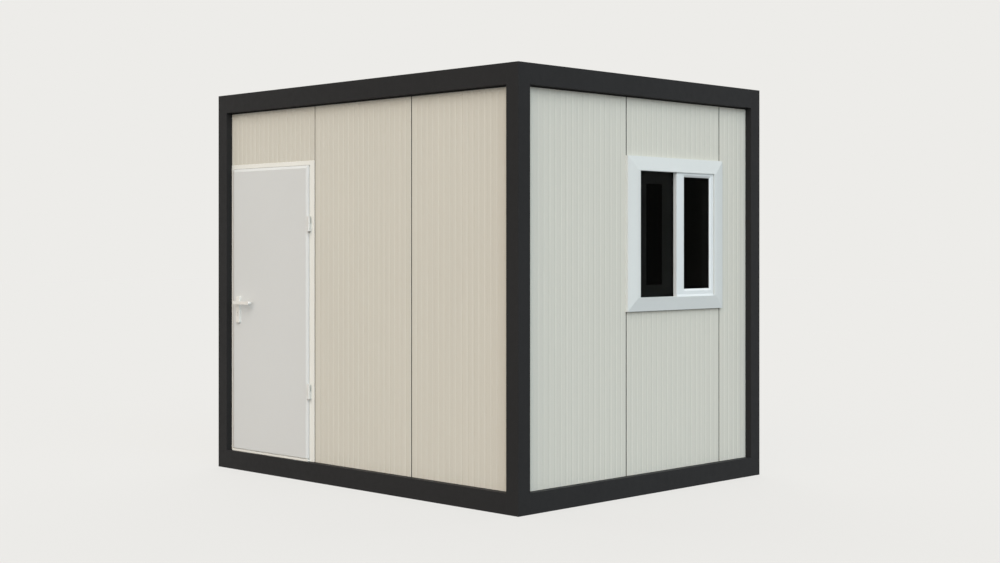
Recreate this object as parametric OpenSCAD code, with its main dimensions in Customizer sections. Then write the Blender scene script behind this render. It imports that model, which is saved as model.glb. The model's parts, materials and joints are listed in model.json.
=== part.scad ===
// Prefabricated guard booth: a steel-framed cabin with insulated wall panels, a door that opens
// outwards on the front and a sliding window on the right side. Millimetres, Z up.
// The origin is at ground level under the middle of the cabin. X runs to the right along the door
// side and Y runs towards the rear. On every wall, u runs along the wall from its left corner as
// seen from outside, r runs inwards from the outer face of the steel frame, and z runs up.

/* [Cabin] */
// Outside length along the door side
cabin_w = 3000; // [2800:10:3600]
// Outside depth along the window side
cabin_d = 2400; // [2300:10:3000]
// Outside height
cabin_h = 2660; // [2560:10:2900]

/* [Steel frame] */
// Side of the square corner posts and depth of the beams
post_size = 100; // [98:1:120]
// Height of the base beams
base_h = 127; // [115:1:160]
// Height of the roof beams
roof_h = 127; // [120:1:160]
// Steel thickness of the beam channels
beam_wall = 4; // [3:0.5:6]
// Height of the lip under a roof beam that holds the tops of the wall panels
roof_lip_h = 9; // [6:1:25]

/* [Floor] */
// Thickness of the floor deck
deck_t = 18; // [12:1:24]
// Width of a floor joist
joist_w = 50; // [40:1:80]
// Height of a floor joist
joist_h = 80; // [60:1:85]
// Number of floor joists
joist_count = 6; // [4:1:8]

/* [Ceiling and roof] */
// Thickness of the ceiling panel
ceiling_t = 30; // [20:1:35]
// Bearing of the ceiling and the roof sheet on the roof beams
roof_bearing = 40; // [20:1:60]
// Width of a roof purlin
purlin_w = 40; // [30:1:60]
// Height of a roof purlin
purlin_h = 45; // [30:1:48]
// Number of roof purlins
purlin_count = 5; // [3:1:7]
// Thickness of the roof sheet
sheet_t = 3; // [2:0.5:4]
// Height of the ribs in the roof sheet
rib_h = 28; // [15:1:30]
// Spacing of the ribs in the roof sheet
rib_pitch = 250; // [150:5:350]
// Width of a rib at its top
rib_top_w = 30; // [20:1:50]
// Width of a rib at its foot
rib_foot_w = 64; // [55:1:90]

/* [Wall panels] */
// Cover width of a full wall panel
panel_w = 970; // [900:5:1000]
// Thickness of the wall panels
panel_t = 50; // [40:1:50]
// Depth of the wall panels behind the outer face of the frame
panel_recess = 47; // [45:1:48]
// Width of the joint between two panels
seam_w = 8; // [4:0.5:12]
// Depth of the joint between two panels
seam_depth = 6; // [6:0.5:12]
// Thickness of the dark seal at the bottom of a joint
seal_t = 4; // [2:0.5:4]
// Number of upright lines pressed into the width of a full panel
line_count = 19; // [12:1:24]
// Width of a line at the face of the panel
line_w = 18; // [13:1:24]
// Width of a line at its bottom
line_bottom_w = 8; // [3:1:12]
// Depth of a line
line_depth = 1.4; // [0.4:0.1:1.5]
// Width of the cut panel beside the rear post on the window side
side_end_w = 299; // [200:1:400]

/* [Door frame] */
// Height of the panel over the door
over_door_h = 373; // [250:1:450]
// Frame shown beside the leaf on the hinge side
hinge_reveal = 54; // [45:1:90]
// Frame shown beside the leaf on the latch side
latch_reveal = 32; // [25:1:80]
// Frame shown above the leaf
head_reveal = 32; // [22:1:60]
// How far the door frame stands out from the wall panels
door_frame_proud = 2; // [0:0.5:3]
// Height of the threshold
threshold_h = 14; // [8:1:20]
// How far the nose of the threshold stands out from the door frame
threshold_proud = 18; // [10:1:35]

/* [Door leaf] */
// Width of the leaf over its flange
leaf_w = 860; // [700:1:900]
// Thickness of the flange that laps over the frame
flange_t = 14; // [13:0.5:15]
// Width of the bevel along the sides and the top of the flange
flange_bevel = 18; // [5:0.5:22]
// Depth of the bevel along the sides and the top of the flange
flange_bevel_depth = 8; // [3:0.5:8]
// Lap of the flange over the frame
flange_lap = 15; // [12:1:18]
// Thickness of the leaf behind its flange
leaf_body_t = 40; // [30:1:45]
// Gap between the flange and the face of the frame
flange_gap = 5; // [5:0.5:6]
// Gap between the leaf and the inside of the frame
leaf_gap = 8; // [7:0.5:10]
// Gap between the leaf and the threshold
leaf_lift = 5; // [5:0.5:12]

/* [Hinges] */
// Length of a hinge barrel
hinge_len = 102; // [80:1:130]
// Diameter of a hinge barrel
hinge_d = 21; // [18:0.5:22]
// Diameter of a hinge pin
hinge_pin_d = 9; // [7:0.5:11]
// Distance of the hinge axis from the edge of the leaf
hinge_offset = 14; // [13:0.5:18]
// Depth of the hinge axis behind the outer face of the steel frame
hinge_axis_r = 26; // [24:0.5:27]
// Thickness of the webs that carry the barrels
hinge_web_t = 5; // [4:0.5:7]
// Bottom of the lower hinge above the bottom of the leaf
hinge_low = 403; // [200:1:600]
// Top of the upper hinge below the top of the leaf
hinge_drop = 344; // [200:1:600]
// Running clearance of the pins, the lever neck and the barrel ends
running_gap = 0.3; // [0.2:0.05:0.5]

/* [Door handle] */
// Width of a handle plate
plate_w = 40; // [32:1:50]
// Height of a handle plate
plate_h = 186; // [160:1:230]
// Thickness of a handle plate
plate_t = 13; // [8:1:18]
// Corner radius of a handle plate
plate_r = 8; // [3:0.5:12]
// Distance of the lever axis from the latch edge of the leaf
handle_backset = 82; // [60:1:90]
// Height of the lever axis above the bottom of the leaf
lever_z = 1036; // [900:1:1100]
// Height of the lever axis above the bottom of the handle plate
lever_on_plate = 142; // [110:1:145]
// Length of the lever from its axis to its tip
lever_len = 178; // [110:1:200]
// Height of the lever
lever_h = 22; // [16:1:26]
// Thickness of the lever
lever_t = 14; // [10:1:18]
// Gap between the lever and the handle plate
lever_gap = 24; // [8:1:40]
// Return of the lever's tip towards the door
lever_return = 10; // [4:1:14]
// Diameter of the lever's neck
neck_d = 16; // [12:0.5:20]
// Diameter of the bore for the neck through the leaf
neck_bore_d = 24; // [22:0.5:28]
// Distance of the keyhole below the lever axis
key_drop = 72; // [50:1:90]
// Diameter of the round part of the keyhole
key_d = 12; // [8:0.5:16]
// Width of the keyhole's slot
key_slot_w = 6; // [4:0.5:8]
// Length of the keyhole's slot below its round part
key_slot_h = 15; // [10:1:20]
// Depth of the keyhole
key_depth = 7; // [4:0.5:8]

/* [Window casing] */
// Lap of the casing over the panels beside the window
casing_lap = 10; // [2:0.5:14]
// Height of the casing over its outer edges
casing_h = 990; // [900:1:1000]
// Width of the slope of a casing strip
casing_slope = 86; // [60:1:95]
// Width of the flat lip along the inner edge of the upright strips
casing_side_lip = 24; // [8:1:30]
// Height of the lower strip
casing_foot_h = 86; // [60:1:110]
// Height of the upper strip
casing_head_h = 92; // [60:1:110]
// Height of the panel over the window
over_window_h = 378; // [250:1:500]
// How far the casing's outer edge stands out from the panels
casing_edge = 20; // [8:1:25]
// Rise of the casing from its outer edge to its lip
casing_rise = 15; // [10:1:20]
// Width of the joint between the casing and the panel under it
casing_joint_w = 3; // [2:0.5:8]

/* [Window sashes] */
// Height of the sill of the window frame above the lower casing
sill_h = 2; // [1:0.5:20]
// Stop of the window frame behind the sliding sash, beside the casing
sash_stop_w = 32; // [25:1:45]
// Lap of the sliding sash past the middle of the window
sash_lap = 11; // [5:1:30]
// Gap between the sliding sash and the casing beside it
sash_side_gap = 2; // [1:0.5:30]
// Thickness of the sliding sash
sash_t = 27; // [18:1:28]
// Width of the sliding sash's meeting stile
meeting_stile_w = 87; // [60:1:110]
// Width of the sliding sash's outer stile
side_stile_w = 38; // [24:1:70]
// Height of the sliding sash's lower rail
lower_rail_h = 50; // [30:1:60]
// Height of the sliding sash's upper rail
upper_rail_h = 28; // [18:1:60]
// Height of the weather bar along the foot of the sliding sash
weather_bar_h = 14; // [8:1:20]
// How far the weather bar stands out from the sliding sash
weather_bar_proud = 6; // [3:0.5:7]
// Width of the sloped glazing beads round the panes
bead_w = 13; // [6:1:16]
// Setback of the glass in a sash
glass_setback = 8; // [4:1:14]
// Thickness of the glass
glass_t = 4; // [3:0.5:5]
// Depth of the fixed pane behind the face of the window frame
pane_setback = 3; // [1:0.5:5]
// Depth of the inner sash behind the face of the window frame
inner_sash_setback = 10; // [9.5:0.5:14]
// Thickness of the inner sash
inner_sash_t = 20; // [16:1:24]
// Width of the inner sash's stiles
inner_stile_w = 118; // [80:1:140]
// Height of the inner sash's rails
inner_rail_h = 79; // [50:1:100]

/* [Hidden] */
$fn = 48;

// Numbers of the walls, for on_wall
FRONT = 0;
RIGHT = 1;
REAR = 2;
LEFT = 3;

// Overcut of the holes and grooves, so that no skin is left
cut = 1;

// Heights of the walls
wall_bottom = base_h;
wall_top = cabin_h - roof_h;

// Plan of the ceiling and the roof sheet
roof_w = cabin_w - 2 * post_size + 2 * roof_bearing;
roof_d = cabin_d - 2 * post_size + 2 * roof_bearing;

// Panel joints on the front and right walls, and the spacing of the panels' lines
door_joint = post_size + latch_reveal + leaf_w + hinge_reveal;
front_joint = door_joint + panel_w;
window_end = cabin_d - post_size - side_end_w;
window_start = window_end - panel_w;
line_pitch = panel_w / line_count;

// Door frame, leaf and hinge axis, on the front wall
door_face_r = panel_recess - door_frame_proud;
door_back_r = panel_recess + panel_t;
flange_back_r = door_face_r - flange_gap;
leaf_face_r = flange_back_r - flange_t;
leaf_back_r = flange_back_r + leaf_body_t;
leaf_u = post_size + latch_reveal;
leaf_end_u = leaf_u + leaf_w;
leaf_z = wall_bottom + threshold_h + leaf_lift;
leaf_top_z = wall_top - over_door_h - head_reveal;
leaf_h = leaf_top_z - leaf_z;
latch_jamb_u = leaf_u + flange_lap;
hinge_jamb_u = leaf_end_u - flange_lap;
head_z = leaf_top_z - flange_lap;
head_top_z = leaf_top_z + head_reveal;
hinge_axis_u = leaf_end_u + hinge_offset;
hinge_half = (hinge_len - running_gap) / 2;

// Handle, on the front wall
handle_u = leaf_u + handle_backset;
handle_z = leaf_z + lever_z;
plate_z = handle_z - lever_on_plate;
outer_lever_r = leaf_face_r - plate_t - lever_gap - lever_t;
inner_lever_r = leaf_back_r + plate_t + lever_gap;

// Window, on the right wall
window_mid_u = (window_start + window_end) / 2;
casing_u = window_start - casing_lap;
casing_w = panel_w + 2 * casing_lap;
casing_r = panel_recess - casing_edge - casing_rise;
casing_depth = casing_edge + casing_rise;
casing_top_z = wall_top - over_window_h;
casing_z = casing_top_z - casing_h;
casing_stile_w = casing_slope + casing_side_lip;
light_u = casing_u + casing_stile_w;
light_w = casing_w - 2 * casing_stile_w;
light_z = casing_z + casing_foot_h;
light_h = casing_h - casing_foot_h - casing_head_h;
sill_z = light_z + sill_h;
sash_u = window_mid_u - sash_lap;
sash_w = light_u + light_w - sash_side_gap - sash_u;
sash_r = panel_recess - sash_t;
pane_w = window_mid_u + sash_lap - light_u;
pane_h = light_h - sill_h;

// Length of a wall over the corner posts, and the cabin's size square to it
function wall_length(wall) = wall % 2 == 0 ? cabin_w : cabin_d;
function wall_distance(wall) = wall % 2 == 0 ? cabin_d : cabin_w;

// The two panel joints of a wall. The rear and left walls repeat the front and right walls.
function joints(wall) =
    wall == FRONT ? [door_joint, front_joint] :
    wall == RIGHT ? [window_start, window_end] :
    wall == REAR ? [cabin_w - front_joint, cabin_w - door_joint] :
    [cabin_d - window_end, cabin_d - window_start];

// The four points of a trapezoid along a line, from its wide side to its narrow side at the given height
function trapezoid(mid, wide, narrow, height) = [
    [mid - wide / 2, 0], [mid - narrow / 2, height],
    [mid + narrow / 2, height], [mid + wide / 2, 0]
];

// Put children, drawn in u, r and z, on a wall
module on_wall(wall) {
    rotate([0, 0, 90 * wall]) translate([-wall_length(wall) / 2, -wall_distance(wall) / 2, 0]) children();
}

// A block from one corner in u, r and z to the opposite one
module block(low, high) {
    translate(low) cube(high - low);
}

// A slab whose face at r = 0 is drawn in by inset at all four edges, over the depth rise
module bevelled_slab(w, h, depth, inset, rise) {
    intersection() {
        linear_extrude(h)
            polygon([[0, depth], [0, rise], [inset, 0], [w - inset, 0], [w, rise], [w, depth]]);
        rotate([90, 0, 90]) linear_extrude(w)
            polygon([[depth, 0], [rise, 0], [0, inset], [0, h - inset], [rise, h], [depth, h]]);
    }
}

// A rectangle with rounded corners, from exact arcs, centred in x and standing on y = 0
module rounded_outline(w, h, radius) {
    translate([-w / 2, radius]) square([w, h - 2 * radius]);
    translate([radius - w / 2, 0]) square([w - 2 * radius, h]);
    for (x = [radius - w / 2, w / 2 - radius], y = [radius, h - radius])
        translate([x, y]) circle(radius);
}

// Extrude an outline drawn in u and z from depth r inwards
module inwards(r, depth) {
    translate([0, r + depth, 0]) rotate([90, 0, 0]) linear_extrude(depth) children();
}

// A ring of four bars round a rectangular light
module bar_ring(low, high, stile_low, stile_high, rail_low, rail_high) {
    difference() {
        block(low, high);
        block([low.x + stile_low, low.y - cut, low.z + rail_low],
              [high.x - stile_high, high.y + cut, high.z - rail_high]);
    }
}

// Steel frame

module corner_post(side_x, side_y) {
    color("#303030")
        translate([side_x * (cabin_w - post_size) / 2, side_y * (cabin_d - post_size) / 2, cabin_h / 2])
            cube([post_size, post_size, cabin_h], center = true);
}

// A channel between two posts, open towards the inside
module beam(wall, z, h) {
    length = wall_length(wall) - 2 * post_size;
    color("#303030") on_wall(wall) translate([post_size, 0, z]) difference() {
        cube([length, post_size, h]);
        translate([-cut, beam_wall, beam_wall]) cube([length + 2 * cut, post_size, h - 2 * beam_wall]);
    }
}

module base_beam(wall) {
    beam(wall, 0, base_h);
}

// A channel with a lip below it in front of the wall panels
module roof_beam(wall) {
    beam(wall, wall_top, roof_h);
    color("#303030") on_wall(wall)
        block([post_size, panel_recess - beam_wall, wall_top - roof_lip_h],
              [wall_length(wall) - post_size, panel_recess, wall_top + beam_wall]);
}

// Floor, ceiling and roof

// Evenly spaced bars between the webs of the front and rear beams
module cross_bars(count, w, h, z) {
    clear_w = cabin_w - 2 * post_size;
    length = cabin_d - 2 * beam_wall;
    for (i = [1 : count])
        translate([clear_w * (i / (count + 1) - 0.5), 0, z + h / 2]) cube([w, length, h], center = true);
}

module floor_joists() {
    color("#55585a") cross_bars(joist_count, joist_w, joist_h, wall_bottom - deck_t - joist_h);
}

module floor_deck() {
    color("#8a8478") translate([0, 0, wall_bottom - deck_t / 2])
        cube([cabin_w - 2 * post_size, cabin_d - 2 * post_size, deck_t], center = true);
}

module ceiling_panel() {
    color("#e6e5df") between_posts()
        translate([0, 0, wall_top + beam_wall + ceiling_t / 2]) cube([roof_w, roof_d, ceiling_t], center = true);
}

module roof_purlins() {
    color("#55585a") cross_bars(purlin_count, purlin_w, purlin_h, wall_top + beam_wall + ceiling_t);
}

// A ribbed sheet whose ribs run from front to rear
module roof_sheet() {
    count = floor((cabin_w - 2 * post_size - rib_foot_w) / rib_pitch);
    first = -rib_pitch * (count - 1) / 2;
    ribs = [for (i = [0 : count - 1]) each trapezoid(first + i * rib_pitch, rib_foot_w, rib_top_w, rib_h)];
    line = concat([[-roof_w / 2, 0]], ribs, [[roof_w / 2, 0]]);
    lower = [for (i = [len(line) - 1 : -1 : 0]) line[i]];
    upper = [for (point = line) point + [0, sheet_t]];
    color("#9aa0a3") between_posts()
        translate([0, roof_d / 2, wall_top + beam_wall + ceiling_t + purlin_h])
            rotate([90, 0, 0]) linear_extrude(roof_d) polygon(concat(upper, lower));
}

// Notch children round the corner posts
module between_posts() {
    difference() {
        children();
        for (side_x = [-1, 1], side_y = [-1, 1])
            translate([side_x * (cabin_w - post_size) / 2, side_y * (cabin_d - post_size) / 2, cabin_h / 2])
                cube([post_size, post_size, cabin_h], center = true);
    }
}

// Wall panels

// A panel from u_low to u_high with upright lines in its face, rebated at the edges that meet another panel.
// The lines of a wall are counted from its first joint.
module panel(wall, u_low, u_high, z_low = wall_bottom, z_high = wall_top, low_joint = true, high_joint = true) {
    start = joints(wall)[0];
    first = ceil((u_low + line_w - start) / line_pitch);
    last = floor((u_high - line_w - start) / line_pitch);
    lines = [
        for (i = [first : last]) each trapezoid(start + i * line_pitch, line_w, line_bottom_w, line_depth)
    ];
    outline = concat([[u_low, panel_t], [u_low, 0]], lines, [[u_high, 0], [u_high, panel_t]]);
    color(wall % 2 == 0 ? "#cbc4b4" : "#c5c8be")
        on_wall(wall) translate([0, panel_recess, z_low]) difference() {
            linear_extrude(z_high - z_low) polygon(outline);
            if (low_joint) panel_rebate(u_low, z_high - z_low);
            if (high_joint) panel_rebate(u_high, z_high - z_low);
        }
}

// Room for an upright joint on the line u, which opens at the face into half a line on each side
module panel_rebate(u, h) {
    mouth = line_w / 2;
    gap = seam_w / 2;
    translate([u, 0, -cut]) linear_extrude(h + 2 * cut)
        polygon([[-mouth, -cut], [-mouth, 0], [-gap, line_depth], [-gap, seam_depth],
                 [gap, seam_depth], [gap, line_depth], [mouth, 0], [mouth, -cut]]);
}

module end_panel_low(wall) {
    panel(wall, post_size, joints(wall)[0], low_joint = false);
}

module middle_panel(wall) {
    panel(wall, joints(wall)[0], joints(wall)[1]);
}

module end_panel_high(wall) {
    panel(wall, joints(wall)[1], wall_length(wall) - post_size, high_joint = false);
}

module front_panel_over_door() {
    panel(FRONT, post_size, door_joint, head_top_z, wall_top, low_joint = false);
}

// The joint between the panel under the window and the casing shows as a dark line
module right_panel_under_window() {
    difference() {
        panel(RIGHT, window_start, window_end, wall_bottom, casing_z);
        color("#c5c8be") on_wall(RIGHT)
            block([window_start - cut, panel_recess - cut, casing_z - casing_joint_w],
                  [window_end + cut, panel_recess + seam_depth, casing_z + cut]);
    }
}

module right_panel_over_window() {
    panel(RIGHT, window_start, window_end, casing_top_z, wall_top);
}

// Seals at the bottom of the joints, which stop at the window casing
module panel_joint_seals() {
    color("#3c3d3a") {
        for (wall = [FRONT, REAR, LEFT], u = joints(wall))
            on_wall(wall) upright_seal(u, wall_bottom, wall_top);
        on_wall(RIGHT) {
            for (u = joints(RIGHT)) upright_seal(u, casing_top_z, wall_top);
            for (u = joints(RIGHT)) upright_seal(u, wall_bottom, casing_z);
            block([window_start + seam_w / 2, panel_recess + seam_depth - seal_t, casing_z - casing_joint_w],
                  [window_end - seam_w / 2, panel_recess + seam_depth, casing_z]);
        }
    }
}

module upright_seal(u, z_low, z_high) {
    block([u - seam_w / 2, panel_recess + seam_depth - seal_t, z_low],
          [u + seam_w / 2, panel_recess + seam_depth, z_high]);
}

// Door frame

module door_bar(u_low, u_high, z_low, z_high) {
    color("#e2dfd2") on_wall(FRONT) block([u_low, door_face_r, z_low], [u_high, door_back_r, z_high]);
}

module door_jamb_latch() {
    door_bar(post_size, latch_jamb_u, wall_bottom, head_top_z);
}

module door_jamb_hinge() {
    difference() {
        door_bar(hinge_jamb_u, door_joint, wall_bottom, head_top_z);
        color("#e2dfd2") on_wall(FRONT)
            block([door_joint - seam_w / 2, door_face_r - cut, wall_bottom - cut],
                  [door_joint + cut, panel_recess + seam_depth, head_top_z + cut]);
    }
}

module door_head() {
    door_bar(latch_jamb_u, hinge_jamb_u, head_z, head_top_z);
}

// The nose of the threshold runs out under the leaf, in front of the jambs
module door_threshold() {
    door_bar(latch_jamb_u, hinge_jamb_u, wall_bottom, wall_bottom + threshold_h);
    color("#e2dfd2") on_wall(FRONT)
        block([leaf_u, door_face_r - threshold_proud, wall_bottom],
              [leaf_end_u, door_face_r, wall_bottom + threshold_h]);
}

// Door leaf

// A flange with three bevelled edges in front of a body that closes into the frame, bored for the lever
module door_leaf() {
    inset = flange_lap + leaf_gap;
    color("#cfcdc7") on_wall(FRONT) difference() {
        union() {
            translate([leaf_u, leaf_face_r, leaf_z - flange_bevel])
                bevelled_slab(leaf_w, leaf_h + flange_bevel, flange_t, flange_bevel, flange_bevel_depth);
            block([leaf_u + inset, flange_back_r, leaf_z], [leaf_end_u - inset, leaf_back_r, leaf_top_z - inset]);
        }
        block([leaf_u - cut, leaf_face_r - cut, leaf_z - flange_bevel - cut],
              [leaf_end_u + cut, flange_back_r + cut, leaf_z]);
        translate([handle_u, leaf_face_r - cut, handle_z]) rotate([-90, 0, 0])
            cylinder(h = flange_t + leaf_body_t + 2 * cut, d = neck_bore_d);
    }
}

// Hinges: the lower half of a barrel is on the frame and holds the pin, the upper half is on the leaf

module at_hinges() {
    for (z = [hinge_low, leaf_h - hinge_drop - hinge_len])
        translate([hinge_axis_u, hinge_axis_r, leaf_z + z]) children();
}

module door_hinge_frame_side() {
    color("#d8d8d2") on_wall(FRONT) at_hinges() {
        cylinder(h = hinge_half, d = hinge_d);
        cylinder(h = hinge_len - hinge_pin_d, d = hinge_pin_d);
        translate([-hinge_web_t / 2, 0, 0]) cube([hinge_web_t, door_face_r - hinge_axis_r, hinge_half]);
    }
}

module door_hinge_leaf_side() {
    web_r = flange_back_r - hinge_web_t - hinge_axis_r;
    color("#d8d8d2") on_wall(FRONT) at_hinges() translate([0, 0, hinge_half + running_gap]) difference() {
        union() {
            cylinder(h = hinge_half, d = hinge_d);
            translate([-hinge_offset, web_r, 0]) cube([hinge_offset, hinge_web_t, hinge_half]);
        }
        translate([0, 0, -cut]) cylinder(h = hinge_half - hinge_pin_d + running_gap + cut,
                                         d = hinge_pin_d + 2 * running_gap);
    }
}

// Door handle: a plate on each face of the leaf and one lever through both

module door_handle_plates() {
    color("#dededa") on_wall(FRONT) {
        handle_plate(leaf_face_r - plate_t, leaf_face_r - plate_t - cut);
        handle_plate(leaf_back_r, leaf_back_r + plate_t - key_depth);
    }
}

// A plate from depth r, bored for the neck, with a blind keyhole cut from depth key_r
module handle_plate(r, key_r) {
    difference() {
        translate([handle_u, 0, plate_z]) inwards(r, plate_t) rounded_outline(plate_w, plate_h, plate_r);
        translate([handle_u, r - cut, handle_z]) rotate([-90, 0, 0])
            cylinder(h = plate_t + 2 * cut, d = neck_d + 2 * running_gap);
        translate([handle_u, 0, handle_z - key_drop]) inwards(key_r, key_depth + cut) {
            circle(d = key_d);
            translate([-key_slot_w / 2, -key_d / 2 - key_slot_h]) square([key_slot_w, key_slot_h + key_d / 2]);
        }
    }
}

// One grip of the lever, rounded at both ends
module lever_grip(r) {
    translate([handle_u, 0, handle_z]) inwards(r, lever_t) {
        circle(d = lever_h);
        translate([0, -lever_h / 2]) square([lever_len - lever_h / 2, lever_h]);
        translate([lever_len - lever_h / 2, 0]) circle(d = lever_h);
    }
}

// The end of a grip that turns back towards the door
module lever_tip(r) {
    translate([handle_u + lever_len - lever_h / 2, 0, handle_z]) inwards(r, lever_return) circle(d = lever_h);
}

module door_lever() {
    color("#dededa") on_wall(FRONT) {
        lever_grip(outer_lever_r);
        lever_tip(outer_lever_r + lever_t);
        lever_grip(inner_lever_r);
        lever_tip(inner_lever_r - lever_return);
        translate([handle_u, outer_lever_r + lever_t, handle_z]) rotate([-90, 0, 0])
            cylinder(h = inner_lever_r - outer_lever_r - lever_t, d = neck_d);
    }
}

// Window

// A mitred casing that rises from its outer edge to a flat lip
module window_casing() {
    color("#d4dcdc") on_wall(RIGHT) difference() {
        translate([casing_u, casing_r, casing_z])
            bevelled_slab(casing_w, casing_h, casing_depth, casing_slope, casing_rise);
        block([light_u, casing_r - cut, light_z], [light_u + light_w, panel_recess + cut, light_z + light_h]);
    }
}

// The frame in the wall fills the bay between the panels behind the casing
module window_frame() {
    stile = casing_stile_w - casing_lap;
    color("#d4dcdc") on_wall(RIGHT)
        bar_ring([window_start, panel_recess, casing_z],
                 [window_end, panel_recess + panel_t, casing_top_z],
                 stile, stile + sash_stop_w, casing_foot_h + sill_h, casing_head_h);
}

// A sash whose glazing beads slope from its face down to the glass
module sash(low, high, stile_low, stile_high, rail_low, rail_high) {
    mouth_w = high.x - low.x - stile_low - stile_high + 2 * bead_w;
    mouth_h = high.z - low.z - rail_low - rail_high + 2 * bead_w;
    color("#ccd4d5") on_wall(RIGHT) difference() {
        bar_ring(low, high, stile_low, stile_high, rail_low, rail_high);
        translate([low.x + stile_low - bead_w, low.y + glass_setback, low.z + rail_low - bead_w])
            mirror([0, 1, 0]) bevelled_slab(mouth_w, mouth_h, glass_setback + cut, bead_w, glass_setback);
    }
}

// The sliding sash has a sloped weather bar along its foot
module window_sliding_sash() {
    sash([sash_u, sash_r, light_z], [sash_u + sash_w, panel_recess, light_z + light_h],
         meeting_stile_w, side_stile_w, lower_rail_h, upper_rail_h);
    color("#ccd4d5") on_wall(RIGHT) translate([sash_u, sash_r, light_z])
        rotate([90, 0, 90]) linear_extrude(sash_w)
            polygon([[-weather_bar_proud, 0], [0, 0], [0, weather_bar_h]]);
}

module window_inner_sash() {
    r = panel_recess + inner_sash_setback;
    sash([light_u, r, sill_z], [light_u + pane_w, r + inner_sash_t, light_z + light_h],
         inner_stile_w, inner_stile_w, inner_rail_h, inner_rail_h);
}

// The panes of the sliding sash, of the fixed light and of the inner sash
module window_glass() {
    inner_r = panel_recess + inner_sash_setback + glass_setback;
    fixed_r = panel_recess + pane_setback;
    color("#0c0e0e") on_wall(RIGHT) {
        block([sash_u + meeting_stile_w, sash_r + glass_setback, light_z + lower_rail_h],
              [sash_u + sash_w - side_stile_w, sash_r + glass_setback + glass_t,
               light_z + light_h - upper_rail_h]);
        block([light_u, fixed_r, sill_z], [light_u + pane_w, fixed_r + glass_t, sill_z + pane_h]);
        block([light_u + inner_stile_w, inner_r, sill_z + inner_rail_h],
              [light_u + pane_w - inner_stile_w, inner_r + glass_t, light_z + light_h - inner_rail_h]);
    }
}

corner_post(-1, -1);  // corner_post_front_left
corner_post(1, -1);  // corner_post_front_right
corner_post(-1, 1);  // corner_post_rear_left
corner_post(1, 1);  // corner_post_rear_right
base_beam(FRONT);  // base_beam_front
base_beam(RIGHT);  // base_beam_right
base_beam(REAR);  // base_beam_rear
base_beam(LEFT);  // base_beam_left
roof_beam(FRONT);  // roof_beam_front
roof_beam(RIGHT);  // roof_beam_right
roof_beam(REAR);  // roof_beam_rear
roof_beam(LEFT);  // roof_beam_left
floor_joists();
floor_deck();
ceiling_panel();
roof_purlins();
roof_sheet();
front_panel_over_door();
middle_panel(FRONT);  // front_panel_middle
end_panel_high(FRONT);  // front_panel_right
end_panel_low(RIGHT);  // right_panel_front
right_panel_under_window();
right_panel_over_window();
end_panel_high(RIGHT);  // right_panel_rear
end_panel_low(REAR);  // rear_panel_right
middle_panel(REAR);  // rear_panel_middle
end_panel_high(REAR);  // rear_panel_left
end_panel_low(LEFT);  // left_panel_rear
middle_panel(LEFT);  // left_panel_middle
end_panel_high(LEFT);  // left_panel_front
panel_joint_seals();
door_jamb_latch();
door_jamb_hinge();
door_head();
door_threshold();
door_hinge_frame_side();
door_hinge_leaf_side();
door_leaf();
door_handle_plates();
door_lever();
window_casing();
window_frame();
window_sliding_sash();
window_inner_sash();
window_glass();
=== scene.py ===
import json
import math

import bmesh
import bpy
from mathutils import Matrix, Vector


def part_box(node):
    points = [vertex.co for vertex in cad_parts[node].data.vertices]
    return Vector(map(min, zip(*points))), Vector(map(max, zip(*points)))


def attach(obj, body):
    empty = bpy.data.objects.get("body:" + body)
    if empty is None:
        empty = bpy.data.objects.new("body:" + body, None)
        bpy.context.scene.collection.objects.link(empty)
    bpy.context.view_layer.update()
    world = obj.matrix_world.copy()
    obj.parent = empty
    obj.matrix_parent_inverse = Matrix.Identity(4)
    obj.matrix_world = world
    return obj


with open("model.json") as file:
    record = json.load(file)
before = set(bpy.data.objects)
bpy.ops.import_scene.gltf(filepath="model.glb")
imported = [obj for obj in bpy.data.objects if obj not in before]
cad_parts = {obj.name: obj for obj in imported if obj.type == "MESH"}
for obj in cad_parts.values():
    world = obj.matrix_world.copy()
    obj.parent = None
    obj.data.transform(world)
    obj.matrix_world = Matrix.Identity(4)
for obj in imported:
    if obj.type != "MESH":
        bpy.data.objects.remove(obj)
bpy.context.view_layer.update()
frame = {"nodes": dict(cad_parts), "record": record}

# Camera, from the vanishing points of the picture, in metres, degrees and pixels
CAMERA_AT = (7.841, -7.745, 1.569)
CAMERA_YAW = 44.766
CAMERA_LEVEL = 90.0
LENS_MM = 56.22
SENSOR_MM = 36.0
PICTURE_W = 1000
PICTURE_H = 563
HORIZON_PX = 248.06

# Colours, 0 to 255
BACKDROP = (237, 236, 233)
FRAME_PAINT = (36, 36, 36)
PRIMER = (92, 96, 97)
PANEL_COAT = (200, 198, 185)
SEAL = (24, 24, 21)
DOOR_SEAL = (196, 195, 187)
# Darker grey of the head seal: painted shade of the gap between the leaf's top and the head
HEAD_SEAL_PAINTED_SHADE = (160, 160, 153)
JOINT_SEALANT = (140, 137, 128)
FLOOR_BOARD = (139, 130, 116)
CEILING_COAT = (226, 225, 219)
ROOF_COAT = (132, 138, 140)
SCREW_ZINC = (160, 163, 162)
DOOR_FRAME_COAT = (226, 227, 219)
DOOR_COAT = (204, 207, 204)
HARDWARE_COAT = (218, 218, 211)
HINGE_COAT = (204, 204, 197)
LOCK_STEEL = (170, 170, 166)
PVC = (205, 208, 203)
# A lighter copy of the window's white for the sliding sash: painted light against the shade of its recess
SASH_PVC_PAINTED_LIGHT = (212, 216, 213)
GLASS_TINT = (88, 88, 87)

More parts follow.
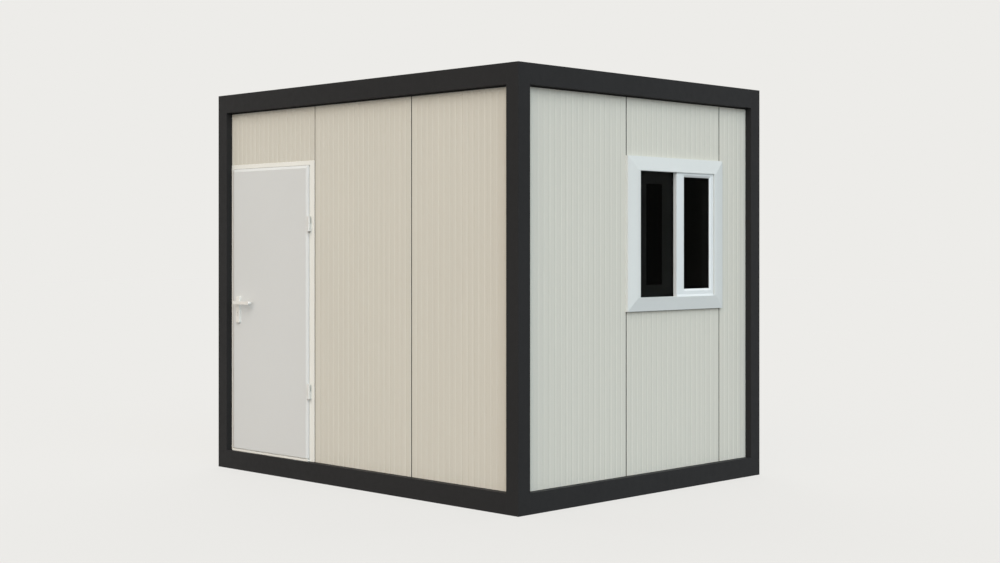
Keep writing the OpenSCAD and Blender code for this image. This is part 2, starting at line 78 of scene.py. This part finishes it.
# Light on the object: an even sky, a warm lamp for the door side, a cool lamp for the window side
# and two plain lamps for the sides out of sight. Azimuths run from the door side to the window side.
SKY = 0.42
SKY_TINT = (1.05, 1.0, 0.93)
LAMP_SOFTNESS = 70.0
LAMP_ELEVATION = 35.0
PLAIN_TINT = (1.0, 1.0, 1.0)
LAMPS = {
    "door_side_lamp": {"azimuth": 22.0, "strength": 1.70, "tint": (1.155, 0.934, 0.79)},
    "window_side_lamp": {"azimuth": 68.0, "strength": 2.0, "tint": (0.805, 1.027, 1.243)},
    "rear_lamp": {"azimuth": 205.0, "strength": 1.74, "tint": PLAIN_TINT},
    "left_lamp": {"azimuth": 250.0, "strength": 1.70, "tint": PLAIN_TINT},
}

# The floor's side in metres, the grey that it bounces and the share of the shadow that it shows
FLOOR_SIDE = 120.0
FLOOR_BOUNCE = 0.15
SHADOW_SHARE = 0.15


def linear(colour):
    """A colour of 0 to 255 as a linear RGBA colour, by the sRGB curve."""
    shares = [c / 255 for c in colour]
    return [c / 12.92 if c <= 0.04045 else ((c + 0.055) / 1.055) ** 2.4 for c in shares] + [1.0]


# Materials, with their sizes in metres

# The range that most of a noise texture's values fall in
NOISE_LOW = 0.3
NOISE_HIGH = 0.7
BEVEL_SAMPLES = 4
# How far marks are drawn out along x, y and z
EVEN = (1, 1, 1)
UP_AND_DOWN = (1, 1, 60)
BOARD_GRAIN = (30, 1, 1)
BOARD_RELIEF = (20, 1, 1)


class Coat:
    """A procedural material in the making: one Principled shader and the textures that drive it."""

    def __init__(self, name, colour, specular=0.5, **sockets):
        self.material = bpy.data.materials.new(name)
        self.material.use_nodes = True
        self.nodes = self.material.node_tree.nodes
        self.links = self.material.node_tree.links
        self.shader = self.nodes["Principled BSDF"]
        self.place = self.nodes.new("ShaderNodeTexCoord").outputs["Object"]
        self.colour = linear(colour)
        self.shade = None
        self.shader.inputs["Base Color"].default_value = self.colour
        self.shader.inputs["Specular IOR Level"].default_value = specular
        for socket, value in sockets.items():
            self.shader.inputs[socket.replace("_", " ")].default_value = value

    def texture(self, size, detail=3.0, stretch=EVEN):
        """Noise whose grains are about size metres, longer along an axis whose stretch is over 1."""
        mapping = self.nodes.new("ShaderNodeMapping")
        mapping.inputs["Scale"].default_value = [1 / s for s in stretch]
        self.links.new(self.place, mapping.inputs["Vector"])
        noise = self.nodes.new("ShaderNodeTexNoise")
        noise.inputs["Scale"].default_value = 1 / size
        noise.inputs["Detail"].default_value = detail
        self.links.new(mapping.outputs["Vector"], noise.inputs["Vector"])
        return noise.outputs["Fac"]

    def ranged(self, value, low, high):
        """A texture's middle range, spread from low to high."""
        node = self.nodes.new("ShaderNodeMapRange")
        node.inputs["From Min"].default_value = NOISE_LOW
        node.inputs["From Max"].default_value = NOISE_HIGH
        node.inputs["To Min"].default_value = low
        node.inputs["To Max"].default_value = high
        self.links.new(value, node.inputs["Value"])
        return node.outputs["Result"]

    def mottle(self, size, amount, **texture):
        """Lighten and darken the colour by amount, in patches of that size."""
        value = self.ranged(self.texture(size, **texture), 1 - amount, 1 + amount)
        if self.shade is None:
            self.shade = value
        else:
            product = self.nodes.new("ShaderNodeMath")
            product.operation = "MULTIPLY"
            self.links.new(self.shade, product.inputs[0])
            self.links.new(value, product.inputs[1])
            self.shade = product.outputs["Value"]

    def roughness(self, low, high, size, **texture):
        """Vary the roughness from low to high, in patches of that size."""
        value = self.ranged(self.texture(size, **texture), low, high)
        self.links.new(value, self.shader.inputs["Roughness"])

    def join_shade(self):
        """Multiply the colour by the patches of all the mottles."""
        tint = self.nodes.new("ShaderNodeMix")
        tint.data_type = "RGBA"
        tint.blend_type = "MULTIPLY"
        tint.inputs["Factor"].default_value = 1.0
        tint.inputs["A"].default_value = self.colour
        self.links.new(self.shade, tint.inputs["B"])
        self.links.new(tint.outputs["Result"], self.shader.inputs["Base Color"])

    def finish(self, edge=0.0, bump_size=0.0, bump_depth=0.0, **texture):
        """Join the shade to the colour, round the edges, add a fine relief and give the material."""
        self.join_shade()
        normal = None
        if edge:
            bevel = self.nodes.new("ShaderNodeBevel")
            bevel.samples = BEVEL_SAMPLES
            bevel.inputs["Radius"].default_value = edge
            normal = bevel.outputs["Normal"]
        if bump_depth:
            bump = self.nodes.new("ShaderNodeBump")
            bump.inputs["Distance"].default_value = bump_depth
            self.links.new(self.texture(bump_size, **texture), bump.inputs["Height"])
            if normal:
                self.links.new(normal, bump.inputs["Normal"])
            normal = bump.outputs["Normal"]
        if normal:
            self.links.new(normal, self.shader.inputs["Normal"])
        return self.material


def frame_paint():
    """Satin dark paint on the rolled steel frame."""
    coat = Coat("frame_paint", FRAME_PAINT, specular=0.1)
    coat.mottle(size=0.5, amount=0.05)
    coat.mottle(size=0.012, amount=0.05)
    coat.roughness(low=0.5, high=0.62, size=0.05)
    return coat.finish(edge=0.003, bump_size=0.004, bump_depth=0.00015)


def primer():
    """Blotchy grey primer on the joists and purlins."""
    coat = Coat("primer", PRIMER, specular=0.3)
    coat.mottle(size=0.2, amount=0.12)
    coat.mottle(size=0.01, amount=0.06)
    coat.roughness(low=0.55, high=0.75, size=0.04)
    return coat.finish(edge=0.002, bump_size=0.005, bump_depth=0.0002)


def panel_coat():
    """Coated sheet of the wall panels, with the faint upright streaks of rolling."""
    coat = Coat("panel_coat", PANEL_COAT, specular=0.35)
    coat.mottle(size=0.9, amount=0.010)
    coat.mottle(size=0.02, amount=0.016, stretch=UP_AND_DOWN)
    coat.mottle(size=0.004, amount=0.008)
    coat.roughness(low=0.42, high=0.52, size=0.03)
    return coat.finish(edge=0.0012, bump_size=0.003, bump_depth=0.00008)


def seal_rubber():
    """Dark rubber in the joints of the panels."""
    coat = Coat("seal_rubber", SEAL, specular=0.2)
    coat.mottle(size=0.01, amount=0.1)
    coat.roughness(low=0.75, high=0.9, size=0.01)
    return coat.finish(bump_size=0.002, bump_depth=0.0001)


def door_rubber(name, colour):
    """Soft pale seal, dulled by dust in its fold."""
    coat = Coat(name, colour, specular=0.25)
    coat.mottle(size=0.02, amount=0.04)
    coat.mottle(size=0.002, amount=0.03)
    coat.roughness(low=0.6, high=0.75, size=0.01)
    return coat.finish(bump_size=0.002, bump_depth=0.00008)


def floor_board():
    """Coated board with its grain along the cabin."""
    coat = Coat("floor_board", FLOOR_BOARD, specular=0.3)
    coat.mottle(size=0.03, amount=0.12, stretch=BOARD_GRAIN)
    coat.mottle(size=0.4, amount=0.06)
    coat.roughness(low=0.45, high=0.65, size=0.05)
    return coat.finish(bump_size=0.004, bump_depth=0.0002, stretch=BOARD_RELIEF)


def ceiling_coat():
    """White coated sheet of the ceiling."""
    coat = Coat("ceiling_coat", CEILING_COAT, specular=0.35)
    coat.mottle(size=0.6, amount=0.015)
    coat.mottle(size=0.005, amount=0.01)
    coat.roughness(low=0.42, high=0.55, size=0.03)
    return coat.finish(edge=0.001, bump_size=0.003, bump_depth=0.00008)


def roof_coat():
    """Galvanised sheet with the soft blotches of its zinc."""
    coat = Coat("roof_coat", ROOF_COAT, specular=0.5, Metallic=0.35)
    coat.mottle(size=0.03, amount=0.05, detail=1.0)
    coat.mottle(size=0.5, amount=0.05)
    coat.roughness(low=0.4, high=0.58, size=0.02)
    return coat.finish(edge=0.002, bump_size=0.006, bump_depth=0.0001)


def door_frame_coat():
    """Satin white paint of the door frame."""
    coat = Coat("door_frame_coat", DOOR_FRAME_COAT, specular=0.45)
    coat.mottle(size=0.5, amount=0.010)
    coat.mottle(size=0.006, amount=0.008)
    coat.roughness(low=0.34, high=0.44, size=0.03)
    return coat.finish(edge=0.003, bump_size=0.0025, bump_depth=0.00006)


def door_coat():
    """Powder coat of the door leaf, with its slight orange peel."""
    coat = Coat("door_coat", DOOR_COAT, specular=0.45)
    coat.mottle(size=0.6, amount=0.008)
    coat.mottle(size=0.006, amount=0.008)
    coat.roughness(low=0.36, high=0.46, size=0.04)
    return coat.finish(edge=0.003, bump_size=0.003, bump_depth=0.00008)


def hardware_coat(name, colour):
    """Satin powder coat of the handle and the hinges."""
    coat = Coat(name, colour, specular=0.5)
    coat.mottle(size=0.05, amount=0.015)
    coat.mottle(size=0.003, amount=0.01)
    coat.roughness(low=0.28, high=0.4, size=0.01)
    return coat.finish(edge=0.003, bump_size=0.0015, bump_depth=0.00004)


def pvc(name, colour):
    """White extruded plastic with a slight waviness."""
    coat = Coat(name, colour, specular=0.5)
    coat.mottle(size=0.4, amount=0.010)
    coat.mottle(size=0.03, amount=0.006)
    coat.roughness(low=0.3, high=0.4, size=0.04)
    return coat.finish(edge=0.002, bump_size=0.02, bump_depth=0.00004)


def tinted_glass():
    """Dark tinted glass that lets about a tenth of the light through and mirrors little."""
    coat = Coat(
        "tinted_glass",
        GLASS_TINT,
        IOR=1.075,
        Specular_Tint=(0.08, 0.08, 0.08, 1.0),
        Transmission_Weight=1.0,
    )
    coat.mottle(size=0.3, amount=0.05)
    coat.roughness(low=0.0, high=0.02, size=0.2)
    return coat.finish()


def screw_zinc():
    """Zinc plating of the roof screws."""
    coat = Coat("screw_zinc", SCREW_ZINC, Metallic=0.6)
    coat.mottle(size=0.004, amount=0.08)
    coat.roughness(low=0.35, high=0.5, size=0.003)
    return coat.finish(edge=0.0004)


def lock_steel():
    """Brushed steel of the lock's plates, with the brush marks up and down."""
    coat = Coat("lock_steel", LOCK_STEEL, Metallic=0.7)
    coat.mottle(size=0.0008, amount=0.06, stretch=UP_AND_DOWN)
    coat.roughness(low=0.3, high=0.45, size=0.001, stretch=UP_AND_DOWN)
    return coat.finish(edge=0.0004)


COATS = {
    "frame_steel": frame_paint(),
    "bare_steel": primer(),
    "wall_panel": panel_coat(),
    "joint_seal": seal_rubber(),
    "floor_board": floor_board(),
    "ceiling": ceiling_coat(),
    "roof_sheet": roof_coat(),
    "door_frame": door_frame_coat(),
    "door_leaf": door_coat(),
    "door_hardware": hardware_coat("hardware_coat", HARDWARE_COAT),
    "window_pvc": pvc("pvc", PVC),
    "tinted_glass": tinted_glass(),
}

hinge_coat = hardware_coat("hinge_coat", HINGE_COAT)
# Nodes whose colour differs from the rest of their slot; the sliding sash's lighter white is painted light
# against the shade of its recess
NODE_COATS = {
    "door_hinge_frame_side": hinge_coat,
    "door_hinge_leaf_side": hinge_coat,
    "window_sliding_sash": pvc("sash_pvc_painted_light", SASH_PVC_PAINTED_LIGHT),
}

for subpart in frame["record"]["subparts"]:
    coat = NODE_COATS.get(subpart["node"], COATS[subpart["material_slot"]])
    for place in frame["nodes"][subpart["node"]].material_slots:
        place.material = coat


# Trim too small or too soft for the solids, with its sizes in metres

def trim(name, shells, body, coat):
    """One piece of trim from closed shells, each a list of corners and a list of faces."""
    corners = []
    faces = []
    for shell_corners, shell_faces in shells:
        faces += [[len(corners) + i for i in face] for face in shell_faces]
        corners += shell_corners
    mesh = bpy.data.meshes.new(name)
    mesh.from_pydata(corners, [], faces)
    solid = bmesh.new()
    solid.from_mesh(mesh)
    bmesh.ops.recalc_face_normals(solid, faces=solid.faces)
    solid.to_mesh(mesh)
    solid.free()
    mesh.materials.append(coat)
    piece = bpy.data.objects.new(name, mesh)
    bpy.context.scene.collection.objects.link(piece)
    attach(piece, body)


def rings(loops):
    """A closed shell through loops of corners, with as many corners in each."""
    count = len(loops[0])
    last = (len(loops) - 1) * count
    faces = [list(range(count)), list(range(last, last + count))]
    for start in range(0, last, count):
        for i in range(count):
            k = (i + 1) % count
            faces.append([start + i, start + k, start + count + k, start + count + i])
    return [corner for loop in loops for corner in loop], faces


def upright(outline, low, high):
    """An outline of (x, y) points carried from one height to another."""
    return rings([[(x, y, z) for x, y in outline] for z in (low, high)])


def crosswise(outline, low, high):
    """An outline of (y, z) points carried from one x to another."""
    return rings([[(x, y, z) for y, z in outline] for x in (low, high)])


def turned(outline, sides, x, y, z):
    """(radius, height) points turned about an upright axis."""
    turns = [2 * math.pi * i / sides for i in range(sides)]
    return rings([[(x + r * math.cos(t), y + r * math.sin(t), z + h) for t in turns] for r, h in outline])


def ladder(across, up, low, high):
    """A plate from one x to another on a grid of y and z lines, open in the middle of every second row."""
    corners = [(x, y, z) for x in (low, high) for z in up for y in across]
    cells = [(i, j) for j in range(len(up) - 1) for i in range(len(across) - 1)]
    solid = [(i, j) for i, j in cells if i != 1 or j % 2 == 0]

    def corner(side, point):
        i, j = point
        return (side * len(up) + j) * len(across) + i

    faces = []
    for i, j in solid:
        square = [(i, j), (i + 1, j), (i + 1, j + 1), (i, j + 1)]
        for side in (0, 1):
            faces.append([corner(side, point) for point in square])
        beside = [(i, j - 1), (i + 1, j), (i, j + 1), (i - 1, j)]
        for start, end, cell in zip(square, square[1:] + square[:1], beside):
            if cell not in solid:
                faces.append([corner(0, start), corner(0, end), corner(1, end), corner(1, start)])
    return corners, faces


def half_round(a, b, half_a, half_b, steps, start=0.0):
    """Points along half an ellipse about (a, b), from the angle start."""
    turns = [start + math.pi * i / steps for i in range(steps + 1)]
    return [(a + half_a * math.cos(t), b + half_b * math.sin(t)) for t in turns]


def rectangle(a, b, half_a, half_b):
    """The four corners of a rectangle about (a, b)."""
    return [(a + i * half_a, b + k * half_b) for i, k in ((-1, -1), (1, -1), (1, 1), (-1, 1))]


def spread(low, high, count):
    """Evenly spaced values from low to high."""
    return [low + (high - low) * i / (count - 1) for i in range(count)]


leaf_low, leaf_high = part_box("door_leaf")
jamb_low, jamb_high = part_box("door_jamb_latch")

# Seals round the door
SEAL_HALF = 0.006
SEAL_RISE = 0.0042
SEAL_STEPS = 8
LATCH_SEAL_INSET = 0.008
HINGE_SEAL_INSET = 0.001
HEAD_SEAL_DROP = 0.001
# The lip under the leaf, as (distance behind its face, drop) points
FOOT_LIP = [(0.003, 0), (0.012, 0), (0.009, 0.0022), (0.0075, 0.0044), (0.006, 0.0044), (0.0055, 0.0022)]
FOOT_LIP_INSET = 0.002


def door_seals():
    """Bulb seals on the frame behind the leaf's edges, and a lip under the leaf; the head seal's darker
    grey is painted shade of the gap above the leaf's top.
    """
    rubber = door_rubber("door_rubber", DOOR_SEAL)
    head_rubber_painted_shade = door_rubber("head_rubber_painted_shade", HEAD_SEAL_PAINTED_SHADE)
    frame_face = jamb_low[1]
    latch_x = leaf_low[0] + LATCH_SEAL_INSET
    hinge_x = leaf_high[0] - HINGE_SEAL_INSET
    head_z = leaf_high[2] - HEAD_SEAL_DROP
    for side, x in (("latch", latch_x), ("hinge", hinge_x)):
        bulb = half_round(x, frame_face, SEAL_HALF, -SEAL_RISE, SEAL_STEPS)
        seal = upright(bulb, leaf_low[2], head_z - SEAL_HALF)
        trim("door_%s_seal" % side, [seal], "cabin", rubber)
    bulb = [(y, z) for z, y in half_round(head_z, frame_face, SEAL_HALF, -SEAL_RISE, SEAL_STEPS)]
    seal = crosswise(bulb, latch_x - SEAL_HALF, hinge_x + SEAL_HALF)
    trim("door_head_seal", [seal], "cabin", head_rubber_painted_shade)
    lip = [(leaf_low[1] + behind, leaf_low[2] - drop) for behind, drop in FOOT_LIP]
    seal = crosswise(lip, leaf_low[0] + FOOT_LIP_INSET, leaf_high[0] - FOOT_LIP_INSET)
    trim("door_foot_seal", [seal], "door", rubber)


# Sealant beside the door frame, with its depths from the panel's face
JOINT_HALF = 0.004
SEALANT_BACK = 0.002
SEALANT_EDGE = 0.0004
SEALANT_HOLLOW = 0.0008
SEALANT_STEPS = 6


def door_joint_sealant():
    """The hollow bead in the joint between the door frame and the next panel."""
    panel_low, panel_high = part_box("front_panel_middle")
    joint_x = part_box("door_jamb_hinge")[1][0]
    face_y = panel_low[1]
    back_y = face_y + SEALANT_BACK
    outline = [(joint_x + JOINT_HALF, back_y), (joint_x - JOINT_HALF, back_y)]
    for side in spread(-1, 1, SEALANT_STEPS + 1):
        depth = SEALANT_EDGE + SEALANT_HOLLOW * (1 - side ** 2)
        outline.append((joint_x + JOINT_HALF * side, face_y + depth))
    bead = upright(outline, panel_low[2], panel_high[2])
    trim("door_joint_sealant", [bead], "cabin", door_rubber("joint_sealant", JOINT_SEALANT))


# The leaf's flange, in front of the part that closes into the frame
FLANGE_T = 0.014
FLANGE_REACH = 0.023

# Lock and strike, with heights from the lever's axis
PLATE_T = 0.001
PLATE_HALF = 0.011
PLATE_STEPS = 10
PLATE_TOP = 0.085
PLATE_FOOT = -0.150
BOLT_HALF = 0.006
LATCH_UP = 0.012
LATCH_HALF = 0.015
LATCH_REACH = 0.003
LATCH_TIP = 0.003
DEAD_BOLT_UP = -0.042
DEAD_BOLT_HALF = 0.017
DEAD_BOLT_REACH = 0.0015
STRIKE_HALF = 0.0125
STRIKE_TOP = 0.052
STRIKE_FOOT = -0.084
KEEP_MARGIN = 0.002
KEEP_T = 0.0004


def door_lock(middle_y, lever_z):
    """The lock's plate in the leaf's edge, with a sloping latch and a drawn-in bolt."""
    edge_x = leaf_low[0] + FLANGE_REACH
    face_x = edge_x - PLATE_T
    top_z = lever_z + PLATE_TOP - PLATE_HALF
    foot_z = lever_z + PLATE_FOOT + PLATE_HALF
    outline = half_round(middle_y, top_z, PLATE_HALF, PLATE_HALF, PLATE_STEPS)
    outline += half_round(middle_y, foot_z, PLATE_HALF, PLATE_HALF, PLATE_STEPS, start=math.pi)
    plate = crosswise(outline, face_x, edge_x)
    tip_x = edge_x - LATCH_REACH
    front_y = middle_y - BOLT_HALF
    back_y = middle_y + BOLT_HALF
    tip_y = front_y + LATCH_TIP
    slope = [(edge_x, front_y), (tip_x, front_y), (tip_x, tip_y), (face_x, back_y), (edge_x, back_y)]
    latch = upright(slope, lever_z + LATCH_UP - LATCH_HALF, lever_z + LATCH_UP + LATCH_HALF)
    bolt_end = rectangle(middle_y, lever_z + DEAD_BOLT_UP, BOLT_HALF, DEAD_BOLT_HALF)
    bolt = crosswise(bolt_end, edge_x - DEAD_BOLT_REACH, edge_x)
    trim("door_lock_plate", [plate, latch, bolt], "door", lock_steel())


def door_strike(middle_y, lever_z):
    """The plate on the jamb, a ladder round the keeps for the latch and the bolt; the keeps are thin black
    patches on the jamb's face, a black dust box and painted shade for the keep's depth.
    """
    wall_x = jamb_high[0]
    keep_half = BOLT_HALF + KEEP_MARGIN
    across = [middle_y + side for side in (-STRIKE_HALF, -keep_half, keep_half, STRIKE_HALF)]
    up = [lever_z + STRIKE_FOOT]
    keeps = []
    for height, half in ((DEAD_BOLT_UP, DEAD_BOLT_HALF), (LATCH_UP, LATCH_HALF)):
        z = lever_z + height
        keep_reach = half + KEEP_MARGIN
        up += [z - keep_reach, z + keep_reach]
        keeps.append(crosswise(rectangle(middle_y, z, keep_half, keep_reach), wall_x, wall_x + KEEP_T))
    up.append(lever_z + STRIKE_TOP)
    plate = ladder(across, up, wall_x, wall_x + PLATE_T)
    trim("door_strike_plate", [plate], "cabin", lock_steel())
    # The keeps: a black dust box, and painted shade where the jamb has no hole cut
    trim("door_strike_keeps_dust_box_and_shade", keeps, "cabin", COATS["joint_seal"])


# Roof screws, turned from (radius, height) points
PURLINS = 5
PURLIN_W = 0.040
SHEET_T = 0.003
SCREWS_ON_PURLIN = 5
SCREW_FROM_END = 0.19
WASHER_SIDES = 24
WASHER = [(0.008, 0), (0.008, 0.0016), (0.0062, 0.0024)]
HEX_SIDES = 6
HEX_HEAD = [(0.0046, 0.002), (0.0046, 0.007), (0.0038, 0.0076)]


def roof_screws():
    """Hexagon screws with washers that hold the flat parts of the roof sheet to the purlins."""
    purlin_low, purlin_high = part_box("roof_purlins")
    sheet_low, sheet_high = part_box("roof_sheet")
    flat_z = sheet_low[2] + SHEET_T
    heads = []
    for x in spread(purlin_low[0] + PURLIN_W / 2, purlin_high[0] - PURLIN_W / 2, PURLINS):
        for y in spread(sheet_low[1] + SCREW_FROM_END, sheet_high[1] - SCREW_FROM_END, SCREWS_ON_PURLIN):
            heads.append(turned(WASHER, WASHER_SIDES, x, y, flat_z))
            heads.append(turned(HEX_HEAD, HEX_SIDES, x, y, flat_z))
    trim("roof_screws", heads, "cabin", screw_zinc())


lever_low, lever_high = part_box("door_lever")
lock_y = (leaf_low[1] + FLANGE_T + leaf_high[1]) / 2
lever_axis_z = (lever_low[2] + lever_high[2]) / 2
door_seals()
door_joint_sealant()
door_lock(lock_y, lever_axis_z)
door_strike(lock_y, lever_axis_z)
roof_screws()


# Light, floor and camera

def seen_or_lit(tree, seen, lit):
    """Mix two shaders: seen for the camera, mirrors and glass, and lit for the light that bounces."""
    rays = tree.nodes.new("ShaderNodeLightPath")
    total = rays.outputs["Is Camera Ray"]
    for kind in ("Is Glossy Ray", "Is Transmission Ray"):
        either = tree.nodes.new("ShaderNodeMath")
        either.operation = "MAXIMUM"
        tree.links.new(total, either.inputs[0])
        tree.links.new(rays.outputs[kind], either.inputs[1])
        total = either.outputs["Value"]
    mix = tree.nodes.new("ShaderNodeMixShader")
    tree.links.new(total, mix.inputs["Fac"])
    tree.links.new(lit, mix.inputs[1])
    tree.links.new(seen, mix.inputs[2])
    return mix.outputs["Shader"]


def make_world():
    """The pale backdrop that is seen and the even sky that lights the object."""
    world = bpy.data.worlds.new("studio")
    bpy.context.scene.world = world
    world.use_nodes = True
    tree = world.node_tree
    lit = tree.nodes["Background"]
    lit.inputs["Color"].default_value = list(SKY_TINT) + [1.0]
    lit.inputs["Strength"].default_value = SKY
    seen = tree.nodes.new("ShaderNodeBackground")
    seen.inputs["Color"].default_value = linear(BACKDROP)
    both = seen_or_lit(tree, seen.outputs["Background"], lit.outputs["Background"])
    tree.links.new(both, tree.nodes["World Output"].inputs["Surface"])


def make_lamps():
    """Soft lamps far away, one for each wall."""
    tilt = math.radians(90 - LAMP_ELEVATION)
    for name, lamp in LAMPS.items():
        light = bpy.data.lights.new(name, "SUN")
        light.energy = lamp["strength"]
        light.color = lamp["tint"]
        light.angle = math.radians(LAMP_SOFTNESS)
        lamp_object = bpy.data.objects.new(name, light)
        lamp_object.rotation_euler = (tilt, 0, math.radians(lamp["azimuth"]))
        bpy.context.scene.collection.objects.link(lamp_object)


def light_on_floor():
    """What an open white floor would show, per colour channel."""
    light = [SKY * tint for tint in SKY_TINT]
    for lamp in LAMPS.values():
        share = lamp["strength"] * math.sin(math.radians(LAMP_ELEVATION)) / math.pi
        light = [old + share * tint for old, tint in zip(light, lamp["tint"])]
    return light


def floor_coat():
    """A pale coat that is even with the backdrop, with a soft share of the shadow."""
    material = bpy.data.materials.new("floor")
    material.use_nodes = True
    tree = material.node_tree
    tree.nodes.remove(tree.nodes["Principled BSDF"])
    even = tree.nodes.new("ShaderNodeEmission")
    even.inputs["Color"].default_value = linear(BACKDROP)
    shadowed = tree.nodes.new("ShaderNodeBsdfDiffuse")
    open_light = light_on_floor()
    shadowed.inputs["Color"].default_value = [c / e for c, e in zip(linear(BACKDROP), open_light)] + [1.0]
    seen = tree.nodes.new("ShaderNodeMixShader")
    seen.inputs["Fac"].default_value = SHADOW_SHARE
    tree.links.new(even.outputs["Emission"], seen.inputs[1])
    tree.links.new(shadowed.outputs["BSDF"], seen.inputs[2])
    lit = tree.nodes.new("ShaderNodeBsdfDiffuse")
    lit.inputs["Color"].default_value = [FLOOR_BOUNCE] * 3 + [1.0]
    both = seen_or_lit(tree, seen.outputs["Shader"], lit.outputs["BSDF"])
    tree.links.new(both, tree.nodes["Material Output"].inputs["Surface"])
    return material


def make_floor():
    """A square floor under the object."""
    half = FLOOR_SIDE / 2
    mesh = bpy.data.meshes.new("floor")
    corners = [(x, y, 0) for x, y in rectangle(0, 0, half, half)]
    mesh.from_pydata(corners, [], [(0, 1, 2, 3)])
    mesh.materials.append(floor_coat())
    floor = bpy.data.objects.new("floor", mesh)
    bpy.context.scene.collection.objects.link(floor)


def make_camera():
    """A level camera whose shift puts the horizon where the picture has it."""
    data = bpy.data.cameras.new("camera")
    data.sensor_width = SENSOR_MM
    data.lens = LENS_MM
    data.shift_y = (HORIZON_PX - PICTURE_H / 2) / PICTURE_W
    camera = bpy.data.objects.new("camera", data)
    camera.location = CAMERA_AT
    camera.rotation_euler = (math.radians(CAMERA_LEVEL), 0, math.radians(CAMERA_YAW))
    bpy.context.scene.collection.objects.link(camera)
    bpy.context.scene.camera = camera


make_world()
make_lamps()
make_floor()
make_camera()
bpy.context.scene.view_settings.view_transform = "Standard"
